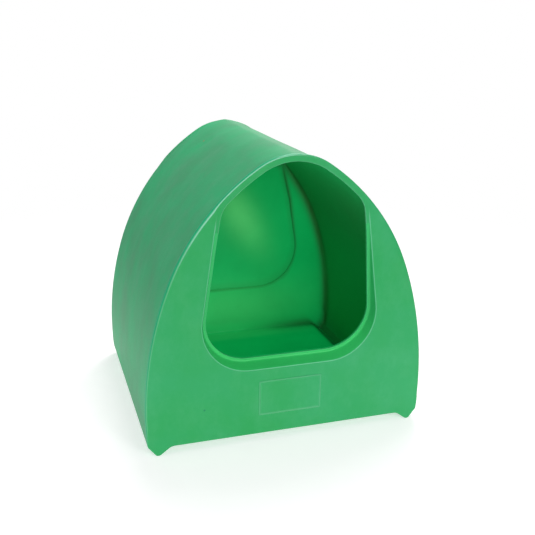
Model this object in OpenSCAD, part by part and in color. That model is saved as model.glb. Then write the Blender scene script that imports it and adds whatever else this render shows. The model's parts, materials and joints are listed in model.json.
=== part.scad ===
// One-piece moulded poultry nest box: a pointed-arch shell with an open front, a closed back and two runners.
// The real box is a single moulding. Each node below is one region of it, cut where the moulding changes
// from one feature to the next, and neighbouring nodes meet face to face.
// Millimetres, +Z up, front towards -Y, origin on the ground under the middle of the box.

/* [Shell] */
// Width of the front, across the widest part of the sides
body_w = 420; // [350:1:504]
// Height of the front, from the ground to the top of the ridge
body_h = 416; // [350:1:500]
// Overall depth, from the front face to the back face
body_d = 372; // [300:1:450]
// How much wider and higher the back is than the front, in percent
flare = 2; // [0:0.5:4]
// Thickness of the moulding
wall = 5; // [3.5:0.5:7]
// Height at which the sides stand plumb and the box is widest
spring_h = 60; // [45:1:80]
// Radius of the rounded ridge
ridge_r = 92; // [70:1:110]
// Slope of the roof where the ridge curve ends, in degrees
roof_pitch = 33; // [28:1:40]
// Radius on the front and back edges of the shell, limited by the wall
edge_r = 4.5; // [2:0.5:6.5]

/* [Base] */
// Height of the floor's underside above the ground
floor_h = 12; // [8:1:18]
// Height at which a side turns in towards its runner
runner_h = 15; // [12:1:22]
// Distance from the side of the box to the middle of a runner's foot
runner_inset = 16.5; // [13:0.5:20]
// Width of the flat foot under a runner
foot_w = 5; // [4:0.5:7]
// Distance from the middle of a runner's foot to the edge of the floor
runner_slope_w = 18.5; // [14:0.5:26]

/* [Doorway] */
// Width of the stepped surround, at its widest
recess_w = 258; // [215:1:290]
// Height of the surround's lower edge above the ground
recess_sill_h = 114; // [95:1:137]
// Radius of the surround's lower corners
recess_corner_r = 70; // [50:1:84]
// Lean of the surround's sides, in degrees
recess_lean = 8; // [4:0.5:10]
// Depth of the step at the sill
recess_depth = 20; // [14:1:26]
// Height at which the step fades out into the face
recess_fade_h = 320; // [290:1:335]
// Slope of the step's walls, in degrees
recess_draft = 15.5; // [8:0.5:20]
// Width of the lip left around the doorway
lip_w = 4.5; // [3:0.5:8]
// Width of the rim over the doorway, from the roof's surface
rim_w = 9; // [8:0.5:14]
// Radius of the doorway's upper corners
door_corner_r = 25; // [12:1:40]

/* [Blank plate] */
// Width of the blank plate on the sill
plate_w = 95; // [70:1:120]
// Height of the blank plate
plate_h = 54; // [40:1:66]
// Height of the plate's lower edge above the ground
plate_z = 41; // [30:1:50]
// How far the plate's border stands out of the face
plate_raise = 0.8; // [0.4:0.1:1.6]
// Width of the plate's border
border_w = 1.8; // [1:0.1:3]

/* [Hidden] */

// Steps along each arc of the outline
arc_steps = 24;
// Steps round each rounded edge of the shell
edge_steps = 5;
// Steps in a full turn of the doorway's upper corners
corner_steps = 64;
// How far the blank plate's field stands out of the face, as a share of its border
field_share = 0.4;
// Depth over which a runner's channel runs out at its closed end
cap_slope = 2;
// Least flat left on the cut of the shell's wall, beside its rounded edge
least_flat = 0.5;

half_w = body_w / 2;
front_y = -body_d / 2;
shell_edge_r = min(edge_r, wall - least_flat);

OUTER_GREEN = [0.31, 0.62, 0.46];
FACE_GREEN = [0.26, 0.69, 0.44];
STEP_GREEN = [0.18, 0.69, 0.33];
INNER_GREEN = [0.0, 0.55, 0.25];

// ---- the arch: side arc, roof arc and ridge arc, each tangent to the next ----

ridge_c = [0, body_h - ridge_r];
ridge_a = 90 - roof_pitch;
spring_p = [half_w, spring_h];
ridge_p = ridge_c + ridge_r * unit(ridge_a);

// The two tangents of the side-and-roof pair have equal lengths, which settles both radii.
spring_t = [0, 1];
ridge_t = unit(ridge_a + 90);
span = ridge_p - spring_p;
turn = 1 - spring_t * ridge_t;
along = span * (spring_t + ridge_t);
tangent_len = (sqrt(along * along + 2 * turn * (span * span)) - along) / (2 * turn);
joint_v = (ridge_p - tangent_len * ridge_t) - (spring_p + tangent_len * spring_t);
joint_a = atan2(-joint_v[0], joint_v[1]);
side_r = tangent_len / tan(joint_a / 2);
roof_r = tangent_len / tan((ridge_a - joint_a) / 2);
side_c = [half_w - side_r, spring_h];
roof_c = ridge_c - (roof_r - ridge_r) * unit(ridge_a);
side_foot_a = asin((runner_h - spring_h) / side_r);

// ---- the runner's section, from the side wall to the floor ----

wall_foot = side_c + side_r * unit(side_foot_a);
wall_foot_in = side_c + (side_r - wall) * unit(side_foot_a);
foot_x = half_w - runner_inset;
floor_x = foot_x - runner_slope_w;
foot_out = [foot_x + foot_w / 2, 0];
foot_in = [foot_x - foot_w / 2, 0];
groove_p = [foot_x, wall];
floor_edge = [floor_x, floor_h];
floor_edge_in = [floor_x, floor_h + wall];

// ---- the stepped surround, its right half ----

corner_c = [recess_w / 2 - recess_corner_r, recess_sill_h + recess_corner_r];
jamb_top = recess_fade_h - wall;
step_rate = recess_depth / (recess_fade_h - recess_sill_h);
lean_p = corner_c + recess_corner_r * unit(recess_lean);

function unit(a) = [cos(a), sin(a)];

// The box flares evenly from front to back, about the middle of its footprint: its share at a depth.
function spread(y) = 1 + flare / 100 * (y - front_y) / body_d;

function flared(p) = [p[0] * spread(p[1]), p[1], p[2] * spread(p[1])];

// An arc as a list of [point, outward direction].
function arc(c, r, from, to, steps = arc_steps) = [
    for (i = [0:steps])
        let (a = from + (to - from) * i / steps)
        [c + r * unit(a), unit(a)]
];

function mirrored(path) = [
    for (i = [len(path) - 1:-1:0])
        [[-path[i][0][0], path[i][0][1]], [-path[i][1][0], path[i][1][1]]]
];

function side_path() = arc(side_c, side_r, side_foot_a, joint_a);
function roof_path() = arc(roof_c, roof_r, joint_a, ridge_a);
function ridge_path() = arc(ridge_c, ridge_r, ridge_a, 180 - ridge_a);

// The whole arch, from the right wall's foot over the ridge to the left wall's foot.
function arch_path() =
    let (right = concat(side_path(), roof_path()))
    concat(right, ridge_path(), mirrored(right));

// Points of a path moved outwards by a distance, without repeats.
function shifted(path, distance) = [
    for (i = [0:len(path) - 1])
        if (i == 0 || norm(path[i][0] - path[max(i - 1, 0)][0]) > 0.001)
            path[i][0] + distance * path[i][1]
];

// Depth of the step's floor below the face, at a height. It is a flat plane, leaning in towards the sill.
function step_depth(z) = step_rate * (recess_fade_h - z);

// The surround's edge on the face as a list of [point, direction into the doorway], from the top of the
// jamb down to the straight sill. The top direction is level, so that the jamb ends on a level cut.
function jamb_path() =
    let (top = lean_p + (jamb_top - lean_p[1]) * [-tan(recess_lean), 1])
    concat(
        [[top, [-1 / cos(recess_lean), 0]]],
        [for (e = arc(corner_c, recess_corner_r, recess_lean, -90)) [e[0], -e[1]]]
    );

// Where the step's wall meets its floor, as a distance into the doorway from the edge e.
function step_reach(e) =
    let (t = tan(recess_draft))
    t * step_depth(e[0][1]) / (1 + step_rate * t * e[1][1]);

// One point of the step's section: reach into the doorway, and depth below the face.
function step_point(e, reach, depth) =
    let (p = e[0] + reach * e[1])
    [p[0], front_y + depth, p[1]];

function floor_point(e, reach, extra = 0) =
    let (p = e[0] + reach * e[1])
    [p[0], front_y + step_depth(p[1]) + extra, p[1]];

// Section of the step at edge e: the drafted wall, the lip, and the moulding's back.
function step_ring(e) =
    let (
        reach = step_reach(e),
        depth = step_depth(e[0][1] + reach * e[1][1]),
        back = min(wall, depth)
    )
    [
        step_point(e, 0, 0),
        floor_point(e, reach),
        floor_point(e, reach + lip_w),
        floor_point(e, reach + lip_w, wall),
        step_point(e, -back, depth + wall),
        step_point(e, -back, wall),
        step_point(e, 0, wall)
    ];

// ---- solids from lists of rings ----

// A closed solid through rings of equal length, flared. Its ends are fans about the ring's point number hub,
// which sees the whole ring. At the back, the rings are turned front to back first.
module sweep(rings, hub = 1, back = false) {
    n = len(rings);
    m = len(rings[0]);
    sides = [
        for (i = [0:n - 2], j = [0:m - 1])
            let (k = (j + 1) % m, a = i * m + j, b = i * m + k, c = (i + 1) * m + k, d = (i + 1) * m + j)
            each [[a, b, c], [a, c, d]]
    ];
    ends = [
        for (i = [1:m - 2])
            let (j = (hub + i) % m, k = (hub + i + 1) % m, last = (n - 1) * m)
            each [[hub, k, j], [last + hub, last + j, last + k]]
    ];
    faces = concat(sides, ends);
    polyhedron(
        points = [for (r = rings, p = r) flared(back ? [p[0], -p[1], p[2]] : p)],
        faces = [for (f = faces) back ? [f[2], f[1], f[0]] : f],
        convexity = 8
    );
}

// A sweep of one flat outline from one depth to another.
module along_depth(outline, from, to, hub) {
    sweep([for (y = [from, to]) [for (p = outline) [p[0], y, p[1]]]], hub);
}

// Section of the shell at edge e, with rounded front and back edges.
function shell_ring(e) =
    let (
        r = shell_edge_r,
        front = [for (i = [0:edge_steps]) let (a = 90 * i / edge_steps) [r * (sin(a) - 1), r * (1 - cos(a))]],
        half = concat([[-wall, 0]], front),
        back = [for (i = [len(half) - 1:-1:0]) [half[i][0], body_d - half[i][1]]]
    )
    [
        for (s = concat(half, back))
            let (p = e[0] + s[0] * e[1])
            [p[0], front_y + s[1], p[1]]
    ];

module shell(path) {
    sweep([for (e = path) shell_ring(e)]);
}

module both_sides(side) {
    mirror([side < 0 ? 1 : 0, 0, 0]) children();
}

// Stands a flat outline up in the XZ plane, growing back from y, and flared.
module upright(y, thickness) {
    back_y = y + thickness;
    translate([0, back_y, 0])
        rotate([90, 0, 0])
            linear_extrude(thickness, scale = spread(y) / spread(back_y))
                scale(spread(back_y)) children();
}

// ---- outlines, in the XZ plane ----

module arch_2d(inset) {
    polygon(shifted(arch_path(), -inset));
}

// The face inside the shell, down to the underside of the floor.
module face_2d() {
    right = [floor_edge, floor_edge_in];
    left = [for (i = [1, 0]) [-right[i][0], right[i][1]]];
    polygon(concat(shifted(arch_path(), -wall), left, right));
}

module band_2d(low, high) {
    translate([-body_w, low]) square([2 * body_w, high - low]);
}

module right_half_2d() {
    square([body_w, body_h]);
}

// The stepped surround's outline on the face, below the jambs' tops.
module surround_2d() {
    right = [for (e = jamb_path()) e[0]];
    left = [for (i = [len(right) - 1:-1:0]) [-right[i][0], right[i][1]]];
    polygon(concat(right, left));
}

// The doorway where the face is flush: the lip's line carried on up to the rim, with rounded corners.
module door_top_2d() {
    reach = lip_w + step_reach(jamb_path()[0]);
    low = lean_p - [reach / cos(recess_lean), 0];
    rise = body_h - low[1];
    high = [low[0] - rise * tan(recess_lean), body_h];
    offset(r = door_corner_r, $fn = corner_steps)
        offset(delta = -door_corner_r)
            intersection() {
                arch_2d(rim_w);
                polygon([low, high, [-high[0], high[1]], [-low[0], low[1]]]);
            }
}

// ---- shell ----

module ridge() {
    color(OUTER_GREEN) shell(ridge_path());
}

module roof_slope(side) {
    color(OUTER_GREEN) both_sides(side) shell(roof_path());
}

module side_wall(side) {
    color(OUTER_GREEN) both_sides(side) shell(side_path());
}

// ---- base ----

// Section of a runner at a depth, its channel open, or filled level with the floor.
function runner_ring(y, open) = [
    for (p = [open ? groove_p : (wall_foot_in + floor_edge_in) / 2,
              wall_foot_in, wall_foot, foot_out, foot_in, floor_edge, floor_edge_in])
        [p[0], y, p[1]]
];

// A hollow runner: a V-shaped channel along the box, closed at its two ends.
module runner(side) {
    front_half = [[front_y, false], [front_y + wall, false], [front_y + wall + cap_slope, true]];
    back_half = [for (i = [2:-1:0]) [-front_half[i][0], front_half[i][1]]];
    color(OUTER_GREEN)
        both_sides(side)
            sweep([for (c = concat(front_half, back_half)) runner_ring(c[0], c[1])], 0);
}

module floor_plate() {
    section = [floor_edge, [-floor_x, floor_h], [-floor_x, floor_h + wall], floor_edge_in];
    color(INNER_GREEN) along_depth(section, front_y + wall, -front_y - wall, 0);
}

// ---- front ----

module front_sill() {
    color(FACE_GREEN)
        upright(front_y, wall)
            intersection() {
                face_2d();
                band_2d(0, recess_sill_h);
            }
}

module post(side) {
    color(FACE_GREEN)
        both_sides(side)
            upright(front_y, wall)
                difference() {
                    intersection() {
                        face_2d();
                        band_2d(recess_sill_h, jamb_top);
                        right_half_2d();
                    }
                    surround_2d();
                }
}

module door_head() {
    color(FACE_GREEN)
        upright(front_y, wall)
            difference() {
                intersection() {
                    face_2d();
                    band_2d(jamb_top, body_h);
                }
                door_top_2d();
            }
}

// The straight part of the step, between the two lower corners.
module sill_ledge() {
    ends = [for (x = [corner_c[0], -corner_c[0]]) [[x, recess_sill_h], [0, 1]]];
    color(STEP_GREEN) sweep([for (e = ends) step_ring(e)]);
}

module jamb(side) {
    color(STEP_GREEN)
        both_sides(side)
            sweep([for (e = jamb_path()) step_ring(e)]);
}

// A raised border around a slightly raised blank field.
module blank_plate() {
    color(FACE_GREEN)
        translate([0, 0, plate_z])
            union() {
                upright(front_y - plate_raise, plate_raise)
                    difference() {
                        translate([-plate_w / 2, 0]) square([plate_w, plate_h]);
                        translate([border_w - plate_w / 2, border_w])
                            square([plate_w - 2 * border_w, plate_h - 2 * border_w]);
                    }
                upright(front_y - field_share * plate_raise, field_share * plate_raise)
                    translate([-plate_w / 2, 0]) square([plate_w, plate_h]);
            }
}

// ---- back: the same step as at the front, with its blank still in place ----

module rear_panel() {
    color(OUTER_GREEN)
        upright(-front_y - wall, wall)
            difference() {
                face_2d();
                surround_2d();
            }
}

module rear_step() {
    right = jamb_path();
    color(INNER_GREEN)
        sweep([for (e = concat(right, mirrored(right))) step_ring(e)], back = true);
}

// The leaning blank, inside the step's lip.
module rear_blank() {
    right = jamb_path();
    rings = [
        for (depth = [0, wall])
            [for (e = concat(right, mirrored(right))) floor_point(e, step_reach(e) + lip_w, depth)]
    ];
    color(INNER_GREEN) sweep(rings, back = true);
}

ridge();
roof_slope(-1);  // left_roof
roof_slope(1);  // right_roof
side_wall(-1);  // left_wall
side_wall(1);  // right_wall
runner(-1);  // left_runner
runner(1);  // right_runner
floor_plate();  // floor
front_sill();
post(-1);  // left_post
post(1);  // right_post
door_head();
sill_ledge();
jamb(-1);  // left_jamb
jamb(1);  // right_jamb
blank_plate();
rear_panel();
rear_step();
rear_blank();
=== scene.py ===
"""Looks of a one-piece moulded poultry nest box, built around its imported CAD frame.

The moulding is one bent sheet, so its two skins are laid out here as one grid. A row runs round the box,
and the rows follow the sheet from the doorway's edge over the step, the face, the sides and the back to the
middle of the back's blank. Each CAD node is then stood for by its own stretch of that grid, and neighbours
share their borders and their shading.
Metres, +Z up, front towards -Y.
"""

import json
import math

import bpy
import numpy as np
from mathutils import Matrix, Vector


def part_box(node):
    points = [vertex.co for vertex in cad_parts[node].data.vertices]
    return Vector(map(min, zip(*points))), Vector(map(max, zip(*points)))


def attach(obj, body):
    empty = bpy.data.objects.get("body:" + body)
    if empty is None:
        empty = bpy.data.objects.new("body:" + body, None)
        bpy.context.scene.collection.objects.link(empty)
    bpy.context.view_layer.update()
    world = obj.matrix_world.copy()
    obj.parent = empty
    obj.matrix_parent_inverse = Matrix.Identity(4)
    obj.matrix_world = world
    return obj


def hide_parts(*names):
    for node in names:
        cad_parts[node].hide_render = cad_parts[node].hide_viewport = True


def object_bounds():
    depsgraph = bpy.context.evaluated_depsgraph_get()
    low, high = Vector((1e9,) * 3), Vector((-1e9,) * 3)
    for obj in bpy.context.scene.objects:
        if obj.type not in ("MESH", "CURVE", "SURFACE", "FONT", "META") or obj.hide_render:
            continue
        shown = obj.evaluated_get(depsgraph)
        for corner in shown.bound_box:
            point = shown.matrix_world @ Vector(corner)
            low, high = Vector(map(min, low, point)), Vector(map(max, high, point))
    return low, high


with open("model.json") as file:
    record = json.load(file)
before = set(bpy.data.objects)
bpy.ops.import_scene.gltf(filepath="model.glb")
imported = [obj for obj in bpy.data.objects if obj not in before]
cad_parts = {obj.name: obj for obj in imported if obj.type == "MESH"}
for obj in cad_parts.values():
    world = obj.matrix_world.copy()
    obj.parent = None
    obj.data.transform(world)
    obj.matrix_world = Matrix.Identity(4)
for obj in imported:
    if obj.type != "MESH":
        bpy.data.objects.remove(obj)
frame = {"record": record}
cad_low, cad_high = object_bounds()

MM = 0.001

# ---- sizes that the frame gives ----

FLARE = 0.02
half_w = cad_high.x / (1 + FLARE)
top_z = cad_high.z / (1 + FLARE)
front_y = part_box("front_sill")[0].y
back_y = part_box("rear_panel")[1].y
floor_low, floor_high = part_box("floor")
wall = floor_high.z / (1 + FLARE) - floor_low.z
foot_x = max(m["pos_m"][0] for m in frame["record"]["mounts"]) / (1 + FLARE / 2)
floor_x = floor_high.x / (1 + FLARE)
sill_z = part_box("front_sill")[1].z
runner_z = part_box("right_wall")[0].z
corner_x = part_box("sill_ledge")[1].x
recess_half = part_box("right_jamb")[1].x - wall
jamb_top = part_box("right_jamb")[1].z
plate_low, plate_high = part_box("blank_plate")

# ---- sizes of the moulding that no box gives ----

SPRING_Z = 60 * MM
ROOF_PITCH = math.radians(33)
FOOT_W = 5 * MM
STEP_LEAN = math.radians(8)
STEP_DRAFT = math.radians(15.5)
STEP_DEPTH = 20 * MM
LIP_W = 4.5 * MM
RIM_W = 9 * MM
FADE_SOFT = 14 * MM
DOOR_CORNER = 15 * MM
NECK_D = 20 * MM
ROOF_SAG = 4.0 * MM
WAVE_HEIGHT = 0.45 * MM
LEAST_STEP = 0.6 * MM
# Height of the hub, as a share of the top's: the columns of the grid fan out from it round the doorway.
HUB_HEIGHT = 0.68
# A bend takes up at most this share of the straight on either side of its corner.
BEND_SHARE = 0.45

ridge_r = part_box("ridge")[1].x / (1 + FLARE) / math.sin(ROOF_PITCH)
fade_z = jamb_top + wall
hub = np.array([0.0, HUB_HEIGHT * top_z])


def unit(angle):
    return np.array([math.cos(angle), math.sin(angle)])


def arc(centre, radius, start, end, steps):
    a = np.linspace(start, end, steps + 1)
    return np.asarray(centre) + radius * np.column_stack([np.cos(a), np.sin(a)])


def soft_step(value, start, end):
    """0 at start, 1 at end, and smooth in between."""
    t = np.clip((value - start) / (end - start), 0, 1)
    return t * t * (3 - 2 * t)


def straight(a, b, steps):
    """Points from a to b, without a itself."""
    return [a + (b - a) * (i / steps) for i in range(1, steps + 1)]


def bend(before, corner, after, reach, steps):
    """Points of a curve that rounds a corner, from reach before it to reach after it. It works on whole rows
    of points too."""
    arms = []
    for end in (before, after):
        arm = end - corner
        size = np.linalg.norm(arm, axis=-1, keepdims=True)
        arms.append(corner + arm * (np.minimum(reach, BEND_SHARE * size) / np.maximum(size, 1e-9)))
    ts = [i / steps for i in range(steps + 1)]
    return [(1 - t) ** 2 * arms[0] + 2 * t * (1 - t) * corner + t**2 * arms[1] for t in ts]


# ---- the outline, its right half from the middle of the floor to the top of the ridge ----

FLOOR_STEPS = 36
SLOPE_STEPS = 4
TURN_STEPS = 4
SIDE_STEPS = 80
ROOF_STEPS = 56
RIDGE_STEPS = 18


def arch_arcs():
    """The side arc, roof arc and ridge arc as (centre, radius, start, end), each tangent to the next."""
    ridge_a = math.pi / 2 - ROOF_PITCH
    ridge_c = np.array([0.0, top_z - ridge_r])
    low = np.array([half_w, SPRING_Z])
    high = ridge_c + ridge_r * unit(ridge_a)
    low_t = np.array([0.0, 1.0])
    high_t = unit(ridge_a + math.pi / 2)
    span = high - low
    turn = 1 - low_t @ high_t
    along = span @ (low_t + high_t)
    tangent = (math.sqrt(along**2 + 2 * turn * (span @ span)) - along) / (2 * turn)
    joint = (high - tangent * high_t) - (low + tangent * low_t)
    joint_a = math.atan2(-joint[0], joint[1])
    side_r = tangent / math.tan(joint_a / 2)
    roof_r = tangent / math.tan((ridge_a - joint_a) / 2)
    side_c = low - np.array([side_r, 0.0])
    roof_c = ridge_c - (roof_r - ridge_r) * unit(ridge_a)
    foot_a = math.asin((runner_z - SPRING_Z) / side_r)
    return (
        (side_c, side_r, foot_a, joint_a),
        (roof_c, roof_r, joint_a, ridge_a),
        (ridge_c, ridge_r, ridge_a, math.pi / 2),
    )


def outline(inset, floor_z, runner, reaches):
    """The half outline, inset from the outer surface. runner is the two points of its foot, and reaches are
    how far the four corners of its runner are rounded. Also gives where each feature ends along it."""
    side, roof, ridge = arch_arcs()
    wall_foot = side[0] + (side[1] - inset) * unit(side[2])
    lifted = side[2] + reaches[3] / side[1]
    wall_start = side[0] + (side[1] - inset) * unit(lifted)
    corners = [np.array([0.0, floor_z]), np.array([floor_x, floor_z]), *runner, wall_foot, wall_start]
    spans = [FLOOR_STEPS, SLOPE_STEPS, 1, SLOPE_STEPS]
    points = [corners[0]]
    for i in range(1, 5):
        turned = bend(corners[i - 1], corners[i], corners[i + 1], reaches[i - 1], TURN_STEPS)
        if i == 4:
            turned[-1] = wall_start
        points += straight(points[-1], turned[0], spans[i - 1])
        points += turned[1:]
        if i == 1:
            floor_end = len(points) - 1 - TURN_STEPS // 2
    runner_end = len(points) - 1
    for (centre, radius, start, end), steps in ((side, SIDE_STEPS), (roof, ROOF_STEPS), (ridge, RIDGE_STEPS)):
        start = lifted if centre is side[0] else start
        points += list(arc(centre, radius - inset, start, end, steps))[1:]
    ends = {"floor": floor_end, "runner": runner_end, "wall": runner_end + SIDE_STEPS}
    ends["roof"] = ends["wall"] + ROOF_STEPS
    return np.array(points), ends


def foot_points(z, width):
    return [np.array([foot_x - width / 2, z]), np.array([foot_x + width / 2, z])]


# How far the corners of the runner are rounded: at the floor, at both sides of the foot, and at the wall.
OUTER_REACHES = (5 * MM, 1.6 * MM, 1.6 * MM, 2.5 * MM)
INNER_REACHES = (6 * MM, 0.5 * MM, 0.5 * MM, 5 * MM)
CHANNEL_W = 1.2 * MM

outer_line, ends = outline(0.0, floor_low.z, foot_points(0.0, FOOT_W), OUTER_REACHES)
inner_line, _ = outline(wall, floor_high.z, foot_points(wall, CHANNEL_W), INNER_REACHES)
HALF = len(outer_line) - 1
ROUND = 2 * HALF

# ---- the doorway's stepped surround ----

# Steps along each part of the surround's closely spaced edge. Along the rim, one in HEAD_KEPT is kept.
SILL_STEPS = 60
CORNER_STEPS = 120
JAMB_STEPS = 160
DOOR_CORNER_STEPS = 24
HEAD_STEPS = 400
HEAD_KEPT = 8

step_rate = STEP_DEPTH / (fade_z - sill_z)


def step_depth(z):
    """Depth of the step below the face at a height: a plane leaning in to the sill, fading out softly."""
    drop = fade_z - np.asarray(z)
    return step_rate * (drop + np.sqrt(drop**2 + FADE_SOFT**2)) / 2


def surround():
    """The surround's edge on the face, its right half from the sill to the top, closely spaced."""
    radius = recess_half - corner_x
    centre = np.array([corner_x, sill_z + radius])
    sill = np.linspace([0.0, sill_z], [corner_x, sill_z], SILL_STEPS)
    corner = arc(centre, radius, -math.pi / 2, STEP_LEAN, CORNER_STEPS)
    _, roof, ridge = arch_arcs()
    # The surround's edge lies a lip's width outside the doorway's, which is a rim's width under the roof.
    under = RIM_W - LIP_W
    head = np.concatenate([arc(c, r - under, a, b, HEAD_STEPS) for c, r, a, b in (roof, ridge)])
    past = head[:, 0] - (corner[-1][0] + (head[:, 1] - corner[-1][1]) * -math.tan(STEP_LEAN))
    meet = int(np.argmax(past < 0))
    after = meet + int(np.argmax(np.linalg.norm(head[meet:] - head[meet], axis=1) > DOOR_CORNER))
    # The arm along the rim is drawn long, so that the bend ends on the rim's own curve.
    along_rim = head[meet] + (head[after] - head[meet]) / BEND_SHARE
    turned = np.array(bend(corner[-1], head[meet], along_rim, DOOR_CORNER, DOOR_CORNER_STEPS))
    jamb = np.linspace(corner[-1], turned[0], JAMB_STEPS)
    rest = head[after + HEAD_KEPT::HEAD_KEPT]
    return np.concatenate([sill[:-1], corner[:-1], jamb[:-1], turned, rest, head[-1:]])


def along_hub(line, values):
    """Values given along a closely spaced line, at the angles round the hub of the outer outline's points."""
    angles = [np.arctan2(p[:, 1] - hub[1], p[:, 0] - hub[0]) for p in (line, outer_line)]
    return np.column_stack([np.interp(angles[1], angles[0], v) for v in values.T])


def surround_rows():
    """(edge of the surround, direction into the doorway) for each point round the half outline."""
    line = surround()
    steps = np.gradient(line, axis=0)
    inward = np.column_stack([-steps[:, 1], steps[:, 0]]) / np.linalg.norm(steps, axis=1, keepdims=True)
    edge = along_hub(line, line)
    facing = along_hub(line, inward)
    facing /= np.linalg.norm(facing, axis=1, keepdims=True)
    facing[0] = [0.0, 1.0]
    facing[-1] = [0.0, -1.0]
    edge[[0, -1], 0] = 0.0
    return edge, facing


edge_line, edge_in = surround_rows()
edge_depth = step_depth(edge_line[:, 1])
edge_reach = np.maximum(math.tan(STEP_DRAFT) * edge_depth, LEAST_STEP)


def at(line, y):
    """Points of a flat line, stood up at y, which may differ from point to point."""
    return np.column_stack([line[:, 0], np.broadcast_to(y, len(line)), line[:, 1]])


def into_doorway(distance):
    """The surround's edge, moved into the doorway."""
    return edge_line + edge_in * np.broadcast_to(distance, len(edge_line))[:, None]


# ---- rows of the two skins ----

# Rounded corners of the sheet's section in turn: how many rows each takes, and the straight rows before each.
# The neck, a little way behind the rim, is no corner: it only brings the rows closer together there.
BEND_ROWS = (3, 4, 4, 8, 2, 8, 4, 4)
SPAN_ROWS = (1, 2, 3, 12, 6, 28, 10, 3, 14)


def low_share(line):
    """1 at the runners and the floor, 0 on the arch."""
    return soft_step(line[:, 1], 44 * MM, 26 * MM)[:, None]


def skin(start, controls, reaches):
    """Rows from start over each rounded corner to the last control, and each corner's (first, last) row."""
    points = [start, *controls]
    rows = [start]
    corners = []
    for i, (reach, steps) in enumerate(zip(reaches, BEND_ROWS), 1):
        turned = bend(points[i - 1], points[i], points[i + 1], reach, steps)
        rows += straight(rows[-1], turned[0], SPAN_ROWS[i - 1])
        corners.append((len(rows) - 1, len(rows) - 1 + steps))
        rows += turned[1:]
    rows += straight(rows[-1], points[-1], SPAN_ROWS[-1])
    return np.array(rows), corners


def outer_skin():
    lip = into_doorway(edge_reach + LIP_W)
    foot = into_doorway(edge_reach)
    low = low_share(outer_line)
    middle = np.repeat(hub[None], HALF + 1, 0)
    start = at(lip, front_y + step_depth(lip[:, 1]) + wall / 2)
    controls = [
        at(lip, front_y + step_depth(lip[:, 1])),
        at(foot, front_y + step_depth(foot[:, 1])),
        at(edge_line, front_y),
        at(outer_line, front_y),
        at(outer_line, front_y + NECK_D),
        at(outer_line, back_y),
        at(edge_line, back_y),
        at(foot, back_y - step_depth(foot[:, 1])),
        at(middle, back_y),
    ]
    rim = 4.2 * MM - 2.9 * MM * low
    rear = 6.5 * MM - 4.5 * MM * low
    reaches = (0.9 * MM, 2.2 * MM, 1.5 * MM, rim, 1 * MM, rear, 3.5 * MM, 4.5 * MM)
    rows, corners = skin(start, controls, reaches)
    for row in rows[corners[-1][1]:]:
        row[:, 1] = back_y - step_depth(row[:, 2])
    return rows, corners


def inner_skin():
    lip = into_doorway(edge_reach + LIP_W)
    behind = np.minimum(wall, edge_depth)
    low = low_share(outer_line)
    middle = np.repeat(hub[None], HALF + 1, 0)
    start = at(lip, front_y + step_depth(lip[:, 1]) + wall / 2)
    controls = [
        at(lip, front_y + step_depth(lip[:, 1]) + wall),
        at(into_doorway(LEAST_STEP - behind), front_y + wall + edge_depth),
        at(into_doorway(-behind), front_y + wall),
        at(inner_line, front_y + wall),
        at(inner_line, front_y + wall + NECK_D),
        at(inner_line, back_y - wall),
        at(into_doorway(-behind), back_y - wall),
        at(into_doorway(LEAST_STEP - behind), back_y - wall - edge_depth),
        at(middle, back_y - wall),
    ]
    rim = 6 * MM - 4 * MM * low
    rear = 13 * MM - 8 * MM * low
    reaches = (0.9 * MM, 3 * MM, 2.5 * MM, rim, 1 * MM, rear, 2.5 * MM, 4 * MM)
    rows, corners = skin(start, controls, reaches)
    for row in rows[corners[-1][1]:]:
        row[:, 1] = back_y - wall - step_depth(row[:, 2])
    return rows, corners


def whole_round(rows):
    """Both halves of each row, closed, and flared from front to back about the middle of the footprint."""
    round_rows = np.concatenate([rows, rows[:, -2:0:-1] * [-1, 1, 1]], axis=1)
    spread = 1 + FLARE * (round_rows[..., 1] - front_y) / (back_y - front_y)
    return round_rows * np.stack([spread, np.ones_like(spread), spread], axis=-1)


def grid_normals(rows, flip):
    """Area-weighted normals of a skin, before they are made unit length."""
    ahead = np.roll(rows, -1, axis=1)
    a, b, c, d = rows[:-1], ahead[:-1], ahead[1:], rows[1:]
    face = np.cross(c - a, d - b) * (-1 if flip else 1)
    total = np.zeros_like(rows)
    total[:-1] += face
    total[1:] += face
    total += np.roll(total, 1, axis=1)
    total[-1] = total[-1].sum(0)
    return total


def both_normals(outer, inner):
    up = grid_normals(outer, True)
    down = grid_normals(inner, False)
    up[0] = down[0] = up[0] + down[0]
    return [n / np.maximum(np.linalg.norm(n, axis=-1, keepdims=True), 1e-12) for n in (up, down)]


def waviness(points):
    """How far the moulded sheet bows out of its true shape: slow waves, which die out at the runners."""
    x, y, z = np.moveaxis(points, -1, 0)
    waves = (
        0.45 * np.sin(17 * y + 9 * z + 0.6)
        + 0.35 * np.sin(23 * x - 15 * z + 1.9)
        + 0.2 * np.sin(41 * y - 31 * x)
    )
    calm = np.clip((z - 25 * MM) / (60 * MM), 0, 1)
    return WAVE_HEIGHT * waves * calm


def roof_sag(points, outward):
    """How far the roof has sunk in behind its stiff front rim: most where it slopes at 45 degrees. It starts
    a little way behind the face, and dies out down the walls."""
    slope = 2 * np.abs(outward[..., 0]) * np.clip(outward[..., 2], 0, 1)
    behind = soft_step(points[..., 1] - front_y, 4 * MM, 16 * MM)
    return ROOF_SAG * slope * behind * soft_step(points[..., 2], 0.52 * top_z, 0.8 * top_z)


def bowed(rows, outward):
    """Rows moved off their true shape, as the real sheet is."""
    return rows + outward * (waviness(rows) - roof_sag(rows, outward))[..., None]


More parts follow.
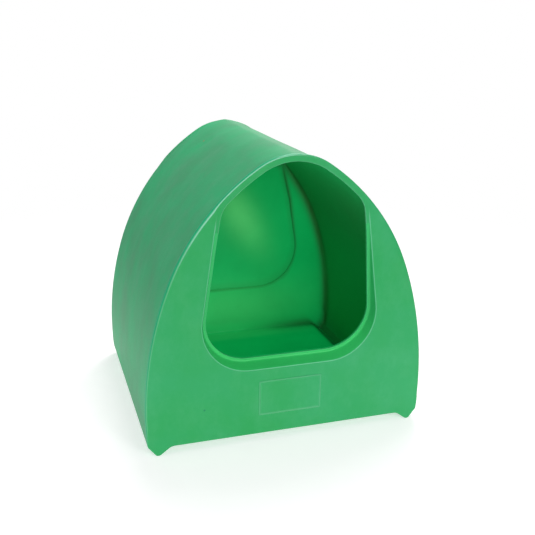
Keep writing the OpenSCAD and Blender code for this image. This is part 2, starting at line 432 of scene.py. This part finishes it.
outer_half, corners = outer_skin()
inner_half, _ = inner_skin()
outer_rows = whole_round(outer_half)
inner_rows = whole_round(inner_half)
outer_n, inner_n = both_normals(outer_rows, inner_rows)
outer_rows = bowed(outer_rows, outer_n)
inner_rows = bowed(inner_rows, -inner_n)
inner_rows[0] = outer_rows[0]
outer_n, inner_n = both_normals(outer_rows, inner_rows)
ROWS = len(outer_rows)
CUT, FOOT, EDGE, RIM, NECK, REAR, BACK_EDGE, BACK_FOOT = range(8)


# ---- attributes that the materials read ----

CUT_PALENESS = 0.15


def edge_share():
    """How pale each row is, for the two skins: the pale lines along the corners are partly edges paled by
    wear or trimming and partly painted highlight, and the front rim's narrow line is painted highlight. Each
    corner's pale line has a strength, a place along the bend and a width."""
    shares = [np.zeros(ROWS), np.zeros(ROWS)]
    for corner, most, place, width, both in (
        (CUT, 0.25, 0.5, 0.5, True),
        (EDGE, 0.38, 0.5, 0.5, False),
        (RIM, 0.85, 0.22, 0.2, False),
        (REAR, 0.12, 0.5, 0.5, False),
    ):
        first, last = corners[corner]
        t = np.linspace(0, 1, last - first + 1)
        for share in shares if both else shares[:1]:
            share[first:last + 1] = most * np.clip(1 - ((t - place) / width) ** 2, 0, 1)
    for share in shares:
        share[: corners[CUT][0] + 1] = CUT_PALENESS
    return shares


def crease_share():
    """How much painted shade each point of the inner skin gets: in the crease round the back wall and the
    step in it, on the sides, more towards the top, and in the runners' channels. On the floor, the crease's
    shade is left out on the left."""
    near = np.zeros(inner_rows.shape[:2])
    x, _, z = np.moveaxis(inner_rows, -1, 0)
    on_floor = (z < 2 * floor_high.z) & (np.abs(x) < floor_x)
    shade_kept = np.where(on_floor, soft_step(x, 0.15 * half_w, 0.9 * half_w), 1.0)
    for corner, most, reach in ((REAR, 1.0, 13 * MM), (BACK_EDGE, 0.8, 5 * MM), (BACK_FOOT, 0.4, 4 * MM)):
        first, last = corners[corner]
        line = inner_rows[(first + last) // 2]
        far = np.linalg.norm(inner_rows - line[None], axis=-1)
        near = np.maximum(near, most * np.exp(-((far / reach) ** 2)) * shade_kept)
    shade_amount = (0.25 + 0.7 * soft_step(z, 0.4 * top_z, 0.75 * top_z)) * np.abs(inner_n[..., 0]) ** 2
    channel = 0.9 * soft_step(floor_high.z - z, 0.5 * MM, 4 * MM)
    return np.maximum(np.maximum(near, shade_amount), channel)


def patch_share():
    """Where a pool of light is painted into the glow on the inside of the back: high on the left, and more
    faintly in the strip over the floor.
    """
    x, y, z = np.moveaxis(inner_rows, -1, 0)
    across = (x - 0.13 * half_w) + 0.6 * (z - 0.6 * top_z)
    down = (z - 0.6 * top_z) - 0.6 * (x - 0.13 * half_w)
    high = (across / (0.17 * half_w)) ** 2 + (down / (0.19 * top_z)) ** 2
    low = ((x + 0.05 * half_w) / (0.7 * half_w)) ** 2 + ((z - 0.17 * top_z) / (0.12 * top_z)) ** 2
    return (np.exp(-high) + 0.4 * np.exp(-low)) * (y > 0.8 * back_y)


def glow_share():
    """How much painted light glows from each point of the inner skin, standing in for daylight through the
    thin
    sheet: little on the sides, and less where the crease shade is painted.
    """
    return (1 - 0.85 * np.abs(inner_n[..., 0])) * (1 - 0.7 * crease)


def step_share():
    """How much of the step is left at each place round the doorway, none where it has faded out, and how much
    painted light brightens it there: most along the sill, less up the jambs."""
    half = soft_step(fade_z + 20 * MM - edge_line[:, 1], 0.0, 20 * MM)
    bright = half * (0.35 + 0.65 * soft_step(sill_z + 80 * MM - edge_line[:, 1], 0.0, 70 * MM))
    return [np.concatenate([share, share[-2:0:-1]]) for share in (half, bright)]


def rim_highlight_share():
    """How strong the painted highlight along the front rim is at each place round it: most over the top, less
    down the left, and none down the right.
    """
    rim = outer_rows[corners[RIM][0]]
    high = 0.25 + 0.75 * soft_step(rim[:, 2], 0.55 * top_z, 0.9 * top_z)
    return high * soft_step(0.15 * half_w - rim[:, 0], 0.0, 0.3 * half_w)


def turned_shade_share():
    """1 on the part of the front rim that has turned to the side, where a deeper green is painted as shade.
    """
    first, last = corners[RIM]
    share = np.zeros(ROWS)
    share[first + (last - first) // 2: last + 2] = 1.0
    return share


edge_rows = edge_share()
step_shown, step_bright = step_share()
turned_rows = turned_shade_share()
# The front rim's pale line is painted highlight.
wear_and_rim_highlight = rim_highlight_share()
crease = crease_share()
glow = glow_share()
patch = patch_share()


# ---- materials ----

class Graph:
    """A short way to write a material's nodes."""

    def __init__(self, name):
        self.material = bpy.data.materials.new(name)
        self.material.use_nodes = True
        self.tree = self.material.node_tree
        self.tree.nodes.clear()

    def node(self, kind, inputs=(), **settings):
        made = self.tree.nodes.new(kind)
        for key, value in settings.items():
            setattr(made, key, value)
        for key, value in dict(inputs).items():
            self.feed(made.inputs[key], value)
        return made

    def feed(self, socket, value):
        if isinstance(value, bpy.types.NodeSocket):
            self.tree.links.new(value, socket)
        else:
            socket.default_value = value

    def math(self, operation, a, b, clamp=False):
        return self.node("ShaderNodeMath", {0: a, 1: b}, operation=operation, use_clamp=clamp).outputs[0]

    def mix(self, share, a, b):
        made = self.node("ShaderNodeMix", data_type="RGBA")
        self.feed(made.inputs[0], share)
        self.feed(made.inputs[6], a)
        self.feed(made.inputs[7], b)
        return made.outputs[2]

    def remap(self, value, low, high, new_low, new_high):
        inputs = {0: value, 1: low, 2: high, 3: new_low, 4: new_high}
        return self.node("ShaderNodeMapRange", inputs).outputs[0]

    def noise(self, place, scale, detail=2.0, roughness=0.5):
        inputs = {"Vector": place, "Scale": scale, "Detail": detail, "Roughness": roughness}
        return self.node("ShaderNodeTexNoise", inputs).outputs["Fac"]

    def stretched(self, place, scale):
        return self.node("ShaderNodeMapping", {"Vector": place, "Scale": scale}).outputs[0]

    def bump(self, height, distance, strength, normal=None):
        inputs = {"Height": height, "Distance": distance, "Strength": strength}
        if normal is not None:
            inputs["Normal"] = normal
        return self.node("ShaderNodeBump", inputs).outputs[0]

    def attribute(self, name):
        return self.node("ShaderNodeAttribute", attribute_name=name).outputs["Fac"]


def rgb(r, g, b):
    return (r, g, b, 1.0)


# The deeper green painted as shade where the front rim turns to the side.
TURNED_SHADE_GREEN = rgb(0.0, 0.40, 0.17)
# The colour of the painted pool of light on the inside of the back.
PATCH_GLOW = rgb(0.052, 0.30, 0.080)


def polyethylene(
    name, colour, deep, pale, roughness, scuff, grain, shine, crease_shade_colour=None, through=None, plain=None, marks=(),
):
    """Moulded polyethylene: colour clouded with deep, a fine moulded grain, pale scuffs and specks, paler
    edges, partly wear and partly painted highlight, a deeper green painted as shade where the front rim turns
    away, and, if given, a colour of painted shade in the creases and on the sides inside. scuff is how far
    the scuffs show, grain the grain's height, through the colour of a painted glow that stands in for light
    through the sheet, plain the colour that the step fades into, and marks the blemishes as (centre, radius,
    colour)."""
    g = Graph(name)
    place = g.node("ShaderNodeTexCoord").outputs["Object"]
    clouds = g.noise(place, 7.0, 4.0, 0.62)
    tint = g.mix(g.remap(clouds, 0.38, 0.62, 0.0, 1.0), deep, colour)
    streaks = g.noise(g.stretched(place, (17.0, 22.0, 12.0)), 1.0, 7.0, 0.74)
    scuffed = g.math("MULTIPLY", g.remap(streaks, 0.45, 0.8, 0.0, 1.0), scuff, clamp=True)
    tint = g.mix(scuffed, tint, pale)
    specks = g.node("ShaderNodeTexVoronoi", {"Vector": place, "Scale": 130.0}).outputs["Distance"]
    speck = g.remap(specks, 0.035, 0.05, 0.35 * scuff, 0.0)
    tint = g.mix(speck, tint, pale)
    # Painted light: the step's green is brighter where the step attribute is high, most on the sill, and
    # fades to plain.
    if plain is not None:
        tint = g.mix(g.attribute("step"), plain, tint)
    # Painted shade: the front rim goes a deeper green where it turns away from the light.
    tint = g.mix(g.math("MULTIPLY", g.attribute("turned"), 0.85), tint, TURNED_SHADE_GREEN)
    # The paler edges are partly wear and trimming and partly painted highlight.
    edge = g.attribute("edge")
    tint = g.mix(edge, tint, pale)
    if crease_shade_colour is not None:
        # Painted shade: a dark olive in the creases and on the sides inside, uneven with the clouds.
        shade_amount = g.math("MULTIPLY", g.attribute("crease"), g.remap(clouds, 0.3, 0.6, 0.4, 0.85))
        tint = g.mix(shade_amount, tint, crease_shade_colour)
    for centre, radius, paint in marks:
        far = g.node("ShaderNodeVectorMath", {0: place, 1: centre}, operation="DISTANCE").outputs["Value"]
        tint = g.mix(g.remap(far, 0.5 * radius, radius, 1.0, 0.0), tint, paint)
    fine = g.noise(place, 620.0, 2.0, 0.6)
    wear_and_rim_highlight = g.math("MULTIPLY", scuffed, 0.12)
    rough = g.math("ADD", g.remap(fine, 0.3, 0.7, roughness - 0.04, roughness + 0.05), wear_and_rim_highlight)
    rough = g.math("SUBTRACT", rough, g.math("MULTIPLY", edge, 0.08))
    slow = g.noise(place, 34.0, 2.0, 0.5)
    normal = g.bump(slow, 0.6 * MM, 0.35)
    normal = g.bump(fine, grain, 0.6, normal)
    inputs = {"Base Color": tint, "Roughness": rough, "Normal": normal}
    inputs.update({"IOR": 1.5, "Specular IOR Level": shine})
    # Painted light: the inner skin glows, standing in for daylight through the sheet, lighter where the patch
    # attribute is high.
    if through is not None:
        uneven = g.remap(clouds, 0.3, 0.7, 0.85, 1.1)
        inputs["Emission Color"] = g.mix(g.attribute("patch"), through, PATCH_GLOW)
        inputs["Emission Strength"] = g.math("MULTIPLY", g.attribute("glow"), uneven)
    shader = g.node("ShaderNodeBsdfPrincipled", inputs)
    g.node("ShaderNodeOutputMaterial", {"Surface": shader.outputs[0]})
    return g.material


def outer_green():
    return polyethylene(
        "moulded_outer", rgb(0.016, 0.425, 0.158), rgb(0.048, 0.335, 0.146), rgb(0.17, 0.45, 0.29),
        roughness=0.54, scuff=0.26, grain=0.09 * MM, shine=0.25,
        marks=[((-0.27 * half_w, 0.54 * back_y, 0.955 * top_z), 3.0 * MM, rgb(0.30, 0.15, 0.05))],
    )


def face_green():
    return polyethylene(
        "moulded_face", rgb(0.020, 0.328, 0.106), rgb(0.015, 0.318, 0.081), rgb(0.30, 0.68, 0.52),
        roughness=0.40, scuff=0.08, grain=0.04 * MM, shine=0.3,
        # The face's one mark is painted shade in a small dimple.
        marks=[((-0.605 * half_w, front_y, 0.147 * top_z), 1.9 * MM, rgb(0.008, 0.21, 0.09))],
    )


def step_green():
    # Its brighter green is painted light, shown most on the sill; plain is the green it fades to.
    return polyethylene(
        "moulded_step", rgb(0.036, 0.545, 0.135), rgb(0.030, 0.510, 0.120), rgb(0.10, 0.52, 0.30),
        roughness=0.40, scuff=0.05, grain=0.04 * MM, shine=0.3, plain=rgb(0.019, 0.335, 0.098),
    )


def inner_green():
    return polyethylene(
        "moulded_inner", rgb(0.006, 0.400, 0.118), rgb(0.004, 0.360, 0.100), rgb(0.07, 0.42, 0.16),
        roughness=0.48, scuff=0.12, grain=0.05 * MM, shine=0.2,
        # Both colours here are painted: a dark olive shade for the creases inside, and a green glow for
        # daylight through the sheet.
        crease_shade_colour=rgb(0.055, 0.10, 0.025), through=rgb(0.0, 0.15, 0.033),
    )


MATERIALS = {
    "moulded_outer": outer_green(),
    "moulded_face": face_green(),
    "moulded_step": step_green(),
    "moulded_inner": inner_green(),
}


# ---- pieces cut from the grid ----

def new_object(name, points, faces):
    mesh = bpy.data.meshes.new(name)
    mesh.from_pydata([tuple(p) for p in points], [], faces)
    made = bpy.data.objects.new(name, mesh)
    bpy.context.scene.collection.objects.link(made)
    return made


def give_materials(made, names):
    for name in names:
        made.data.materials.append(MATERIALS[name])


def give_attribute(made, name, values):
    layer = made.data.attributes.new(name, "FLOAT", "POINT")
    layer.data.foreach_set("value", np.asarray(values, np.float32))


def hand_over(made, node):
    """The piece rides with the box and stands for its CAD node."""
    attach(made, "root")
    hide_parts(node)


def edge_kept(row, col):
    """How much of a corner's pale line is left at a place round it."""
    if corners[FOOT][0] <= row <= corners[EDGE][1]:
        return step_shown[col]
    if corners[RIM][0] <= row <= corners[RIM][1]:
        return wear_and_rim_highlight[col]
    return 1.0


class Stretch:
    """One stretch of the sheet: rows first to last, columns left to right, both skins and the cut sides."""

    def __init__(self, first, last, left, right):
        self.rows = list(range(first, last + 1))
        self.closed = right - left >= ROUND
        count = ROUND if self.closed else right - left + 1
        self.cols = [(left + i) % ROUND for i in range(count)]
        self.points = []
        self.normals = []
        self.shares = {name: [] for name in ("edge", "turned", "step", "crease", "glow", "patch")}
        self.faces = []
        self.face_rows = []
        self.sides = []
        self.index = {}

    def vertex(self, skin_no, row, col):
        """Index of a grid point. The doorway's edge is shared by the skins, and the last row is one point."""
        if row == 0:
            skin_no = 0
        if row == ROWS - 1:
            col = 0
        key = (skin_no, row, col)
        if key not in self.index:
            rows, normals = ((outer_rows, outer_n), (inner_rows, inner_n))[skin_no]
            self.index[key] = len(self.points)
            self.points.append(rows[row][col])
            self.normals.append(normals[row][col])
            self.shares["edge"].append(edge_rows[skin_no][row] * edge_kept(row, col))
            self.shares["turned"].append(0.0 if skin_no else turned_rows[row])
            self.shares["step"].append(step_bright[col])
            for name, share in (("crease", crease), ("glow", glow), ("patch", patch)):
                self.shares[name].append(share[row][col] if skin_no else 0.0)
        return self.index[key]

    def add(self, corners_of, row, side):
        """A face from (skin, row, column) corners. side is 0 or 1 for a skin, 2 for a cut."""
        face = []
        for corner in corners_of:
            v = self.vertex(*corner)
            if v not in face:
                face.append(v)
        if len(face) > 2:
            self.faces.append(face)
            self.face_rows.append(row)
            self.sides.append(side)

    def build(self):
        cols = list(zip(self.cols, self.cols[1:] + self.cols[:1] if self.closed else self.cols[1:]))
        for row, after in zip(self.rows, self.rows[1:]):
            for a, b in cols:
                self.add([(0, row, b), (0, row, a), (0, after, a), (0, after, b)], row, 0)
                self.add([(1, row, a), (1, row, b), (1, after, b), (1, after, a)], row, 1)
            if not self.closed:
                a, b = self.cols[0], self.cols[-1]
                self.add([(0, row, a), (1, row, a), (1, after, a), (0, after, a)], row, 2)
                self.add([(0, after, b), (1, after, b), (1, row, b), (0, row, b)], row, 2)
        for a, b in cols:
            row = self.rows[0]
            if row > 0:
                self.add([(0, row, a), (0, row, b), (1, row, b), (1, row, a)], row, 2)
            row = self.rows[-1]
            if row < ROWS - 1:
                self.add([(0, row, b), (0, row, a), (1, row, a), (1, row, b)], row, 2)


def shade_from_grid(made, stretch):
    """Gives the skins the shading of the whole sheet, so that no border between pieces shows. The cut sides
    stay flat."""
    mesh = made.data
    normals = []
    for polygon, side in zip(mesh.polygons, stretch.sides):
        for v in polygon.vertices:
            normals.append(polygon.normal if side == 2 else stretch.normals[v])
    mesh.polygons.foreach_set("use_smooth", [True] * len(mesh.polygons))
    mesh.normals_split_custom_set([tuple(n) for n in normals])


def cut_piece(node, rows, cols, slot, outside):
    """A piece for a CAD node. outside(row) names the outer skin's material on a row."""
    stretch = Stretch(*rows, *cols)
    stretch.build()
    made = new_object("nestbox_" + node, stretch.points, stretch.faces)
    names = [slot] + [n for n in MATERIALS if n != slot]
    give_materials(made, names)
    for polygon, row, side in zip(made.data.polygons, stretch.face_rows, stretch.sides):
        polygon.material_index = names.index("moulded_inner" if side == 1 else outside(row))
    for name, share in stretch.shares.items():
        give_attribute(made, name, share)
    shade_from_grid(made, stretch)
    hand_over(made, node)
    return made


def finish_of(row):
    """The outer skin's material on a row. It changes at the sheet's own edges."""
    if row < sum(corners[EDGE]) // 2:
        return "moulded_step"
    return "moulded_face" if row < corners[RIM][1] else "moulded_outer"


def finish_over_door(row):
    """The same over the doorway, where there is no step."""
    return "moulded_face" if row < corners[RIM][1] else "moulded_outer"


def column_where(test):
    """The first column of the right half where test is true."""
    return int(np.argmax(test))


def make_shell():
    ledge = column_where(edge_line[:, 0] >= corner_x)
    sill = column_where((outer_line[:, 1] >= sill_z) & (outer_line[:, 0] > corner_x))
    head = column_where(edge_line[:, 1] >= jamb_top)
    step_rows = (0, corners[EDGE][1])
    face_rows = (corners[EDGE][1], corners[RIM][0])
    tube_rows = (corners[RIM][0], corners[REAR][1])

    def right(a, b):
        return (a, b)

    def left(a, b):
        return (ROUND - b, ROUND - a)

    parts = [
        ("sill_ledge", step_rows, (-ledge, ledge), "moulded_step"),
        ("right_jamb", step_rows, right(ledge, head), "moulded_step"),
        ("left_jamb", step_rows, left(ledge, head), "moulded_step"),
        ("front_sill", face_rows, (-sill, sill), "moulded_face"),
        ("right_post", face_rows, right(sill, head), "moulded_face"),
        ("left_post", face_rows, left(sill, head), "moulded_face"),
        ("door_head", (0, corners[RIM][0]), (head, ROUND - head), "moulded_face"),
        ("floor", tube_rows, (-ends["floor"], ends["floor"]), "moulded_inner"),
        ("right_runner", tube_rows, right(ends["floor"], ends["runner"]), "moulded_outer"),
        ("left_runner", tube_rows, left(ends["floor"], ends["runner"]), "moulded_outer"),
        ("right_wall", tube_rows, right(ends["runner"], ends["wall"]), "moulded_outer"),
        ("left_wall", tube_rows, left(ends["runner"], ends["wall"]), "moulded_outer"),
        ("right_roof", tube_rows, right(ends["wall"], ends["roof"]), "moulded_outer"),
        ("left_roof", tube_rows, left(ends["wall"], ends["roof"]), "moulded_outer"),
        ("ridge", tube_rows, (ends["roof"], ROUND - ends["roof"]), "moulded_outer"),
        ("rear_panel", (corners[REAR][1], corners[BACK_EDGE][0]), (0, ROUND), "moulded_outer"),
        ("rear_step", (corners[BACK_EDGE][0], corners[BACK_FOOT][1]), (0, ROUND), "moulded_inner"),
        ("rear_blank", (corners[BACK_FOOT][1], ROWS - 1), (0, ROUND), "moulded_inner"),
    ]
    for node, rows, cols, slot in parts:
        cut_piece(node, rows, cols, slot, finish_over_door if node == "door_head" else finish_of)


# ---- the blank plate ----

PLATE_CORNER = 2.2 * MM
PLATE_BORDER = 1.9 * MM
PLATE_BEVEL = 0.45 * MM
# How far the plate reaches into the face behind it
PLATE_ROOT = 1.5 * MM
# How far its field stands out of the face, as a share of its border
PLATE_FIELD = 0.35
PLATE_CORNER_STEPS = 6


def rounded_rectangle(inset, y):
    """A closed ring, inset from the plate's own outline, at a depth."""
    x = plate_high.x - inset
    low, high = plate_low.z + inset, plate_high.z - inset
    radius = max(PLATE_CORNER - inset, 0.3 * MM)
    right, left = x - radius, radius - x
    bottom, top = low + radius, high - radius
    centres = ((right, bottom), (right, top), (left, top), (left, bottom))
    quarter = math.pi / 2
    turns = [
        arc(centre, radius, (i - 1) * quarter, i * quarter, PLATE_CORNER_STEPS)
        for i, centre in enumerate(centres)
    ]
    return at(np.concatenate(turns), y)


def make_plate():
    """A raised border round a blank field, as rings of (inset, depth, paleness) from the outside in. The
    paleness is painted highlight along the border.
    """
    top = plate_low.y
    raised = front_y - top
    shoulder = top + 0.15 * raised
    field = front_y - PLATE_FIELD * raised
    sections = [
        (0.0, front_y + PLATE_ROOT, 0.0),
        (0.0, front_y, 0.03),
        (PLATE_BEVEL, shoulder, 0.13),
        (2 * PLATE_BEVEL, top, 0.1),
        (PLATE_BORDER - PLATE_BEVEL, top, 0.1),
        (PLATE_BORDER, shoulder, 0.13),
        (PLATE_BORDER + PLATE_BEVEL, field, 0.03),
        (PLATE_BORDER + 3 * MM, field, 0.0),
    ]
    rings = [rounded_rectangle(inset, y) for inset, y, _ in sections]
    count = len(rings[0])
    points = np.concatenate(rings)
    points[:, 1] -= waviness(points)
    faces = [list(range(count))[::-1], list(range(len(points) - count, len(points)))]
    for ring in range(len(rings) - 1):
        for i in range(count):
            j = (i + 1) % count
            a, b = ring * count, (ring + 1) * count
            faces.append([a + i, a + j, b + j, b + i])
    plate = new_object("nestbox_blank_plate", points, faces)
    give_materials(plate, ["moulded_face"])
    give_attribute(plate, "edge", [paleness for _, _, paleness in sections for _ in range(count)])
    for polygon in plate.data.polygons:
        polygon.use_smooth = len(polygon.vertices) == 4
    hand_over(plate, "blank_plate")


# ---- floor, light and camera ----

STAGE_RADIUS = 1.6
STAGE_SIDES = 96
# The stage lies a little below the feet, so that nothing is coplanar with it.
STAGE_Z = -0.2 * MM
# Distances from the middle between which it fades out
STAGE_FADE = (0.35, 1.4)
STAGE_GLOW = 0.85


def make_floor():
    """A pale floor that fades out into the backdrop."""
    turns = np.linspace(0, 2 * math.pi, STAGE_SIDES + 1)[:-1]
    ring = [(STAGE_RADIUS * math.cos(a), STAGE_RADIUS * math.sin(a), STAGE_Z) for a in turns]
    floor = new_object("stage_floor", ring, [list(range(STAGE_SIDES))])
    g = Graph("stage_floor")
    place = g.node("ShaderNodeTexCoord").outputs["Object"]
    far = g.node("ShaderNodeVectorMath", {0: place}, operation="LENGTH").outputs["Value"]
    solid = g.remap(far, *STAGE_FADE, 1.0, 0.0)
    pale = g.mix(g.noise(place, 40.0), rgb(0.60, 0.60, 0.60), rgb(0.63, 0.63, 0.63))
    inputs = {"Base Color": pale, "Roughness": 0.9, "Alpha": solid}
    inputs["Emission Color"] = pale
    inputs["Emission Strength"] = STAGE_GLOW
    shader = g.node("ShaderNodeBsdfPrincipled", inputs)
    g.node("ShaderNodeOutputMaterial", {"Surface": shader.outputs[0]})
    floor.data.materials.append(g.material)


WHITE = (1.0, 1.0, 1.0)
WARM_WHITE = (1.0, 0.95, 0.96)
PINK = (1.0, 0.78, 0.84)

# Each lamp: its name, place, size, power in watts and colour. All aim at the middle of the box.
LAMPS = (
    ("key", (0.75, -2.1, 0.95), 0.9, 18.5, WHITE),
    ("front_fill", (-0.6, -2.3, 0.7), 1.0, 12.5, WHITE),
    ("side_fill", (-2.2, -0.5, 1.4), 1.6, 10.0, WHITE),
    ("top", (0.5, 0.8, 2.3), 1.2, 32.0, WARM_WHITE),
    ("back", (1.1, 1.7, 1.7), 0.8, 17.0, PINK),
)
WORLD_POWER = 0.42


def make_light(name, place, size, power, colour):
    data = bpy.data.lights.new(name, "AREA")
    data.shape = "DISK"
    data.size = size
    data.energy = power
    data.color = colour
    lamp = bpy.data.objects.new(name, data)
    lamp.location = place
    aim = (cad_low + cad_high) / 2
    lamp.rotation_euler = (aim - Vector(place)).to_track_quat("-Z", "Y").to_euler()
    bpy.context.scene.collection.objects.link(lamp)


def make_world():
    """A backdrop that the camera sees as white, and that lights the box more softly."""
    world = bpy.data.worlds.new("backdrop")
    world.use_nodes = True
    nodes, links = world.node_tree.nodes, world.node_tree.links
    nodes.clear()
    seen = nodes.new("ShaderNodeBackground")
    seen.inputs["Color"].default_value = rgb(1.0, 1.0, 1.0)
    lit = nodes.new("ShaderNodeBackground")
    lit.inputs["Color"].default_value = rgb(0.97, 0.98, 1.0)
    lit.inputs["Strength"].default_value = WORLD_POWER
    path = nodes.new("ShaderNodeLightPath")
    mixed = nodes.new("ShaderNodeMixShader")
    out = nodes.new("ShaderNodeOutputWorld")
    links.new(path.outputs["Is Camera Ray"], mixed.inputs[0])
    links.new(lit.outputs[0], mixed.inputs[1])
    links.new(seen.outputs[0], mixed.inputs[2])
    links.new(mixed.outputs[0], out.inputs["Surface"])
    bpy.context.scene.world = world


def make_lights():
    for lamp in LAMPS:
        make_light(*lamp)
    make_world()
    bpy.context.scene.view_settings.view_transform = "Standard"


# The main view: where the camera stands, seen from a point on the box's axis, and its lens.
VIEW_AZIMUTH = math.radians(-17.27)
VIEW_ELEVATION = math.radians(16.79)
VIEW_DISTANCE = 2.77 * 2 * half_w
VIEW_ROLL = 0.0113
VIEW_HEIGHT = 0.5244 * top_z
LENS = 48.19
SENSOR_W = 36.0
SHIFT = (0.0262, -0.0154)


def make_camera():
    back = Vector((
        math.sin(VIEW_AZIMUTH) * math.cos(VIEW_ELEVATION),
        -math.cos(VIEW_AZIMUTH) * math.cos(VIEW_ELEVATION),
        math.sin(VIEW_ELEVATION),
    ))
    right = (-back).cross(Vector((0, 0, 1))).normalized()
    up = right.cross(-back)
    turned = right * math.cos(VIEW_ROLL) + up * math.sin(VIEW_ROLL)
    upright = up * math.cos(VIEW_ROLL) - right * math.sin(VIEW_ROLL)
    camera = bpy.data.objects.new("camera", bpy.data.cameras.new("camera"))
    camera.data.lens = LENS
    camera.data.sensor_width = SENSOR_W
    camera.data.shift_x, camera.data.shift_y = SHIFT
    camera.matrix_world = Matrix((turned, upright, back)).transposed().to_4x4()
    camera.location = Vector((0, 0, VIEW_HEIGHT)) + back * VIEW_DISTANCE
    bpy.context.scene.collection.objects.link(camera)
    bpy.context.scene.camera = camera


make_shell()
make_plate()
make_floor()
make_lights()
make_camera()

bpy.context.view_layer.update()
